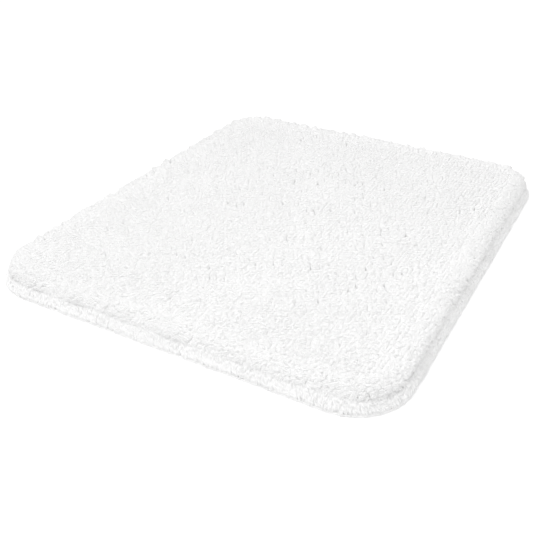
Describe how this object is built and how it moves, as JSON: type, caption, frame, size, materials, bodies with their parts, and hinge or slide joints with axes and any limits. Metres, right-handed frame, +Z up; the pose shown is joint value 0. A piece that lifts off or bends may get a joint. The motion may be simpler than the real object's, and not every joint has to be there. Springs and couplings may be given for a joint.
{
  "type": "bath mat",
  "caption": "Deep-pile bath mat: a soft rounded rectangle of cut pile on a tufted cloth, with a taped hem and an anti-slip underside.",
  "frame": {"origin": "middle of the underside, on the surface that the mat lies on", "axes": "+Z up out of the pile; +Y along the mat's length, the direction of the tufting rows, towards the edge with the care label; +X along its width"},
  "size_m": [0.55, 0.65, 0.033],
  "materials": {
    "pile_yarn": "matte",
    "hem_tape": "matte",
    "sewing_thread": "satin",
    "tufting_cloth": "matte",
    "label_ribbon": "satin",
    "latex": "matte",
    "anti_slip_rubber": "matte"
  },
  "bodies": {
    "root": {"anti_slip_backing": "anti_slip_rubber", "latex_precoat": "latex", "tuft_back_stitches": "pile_yarn", "tufting_cloth": "tufting_cloth", "pile": "pile_yarn", "edge_binding": "hem_tape", "hem_needle_thread": "sewing_thread", "hem_bobbin_thread": "sewing_thread", "care_label": "label_ribbon"}
  },
  "joints": []
}
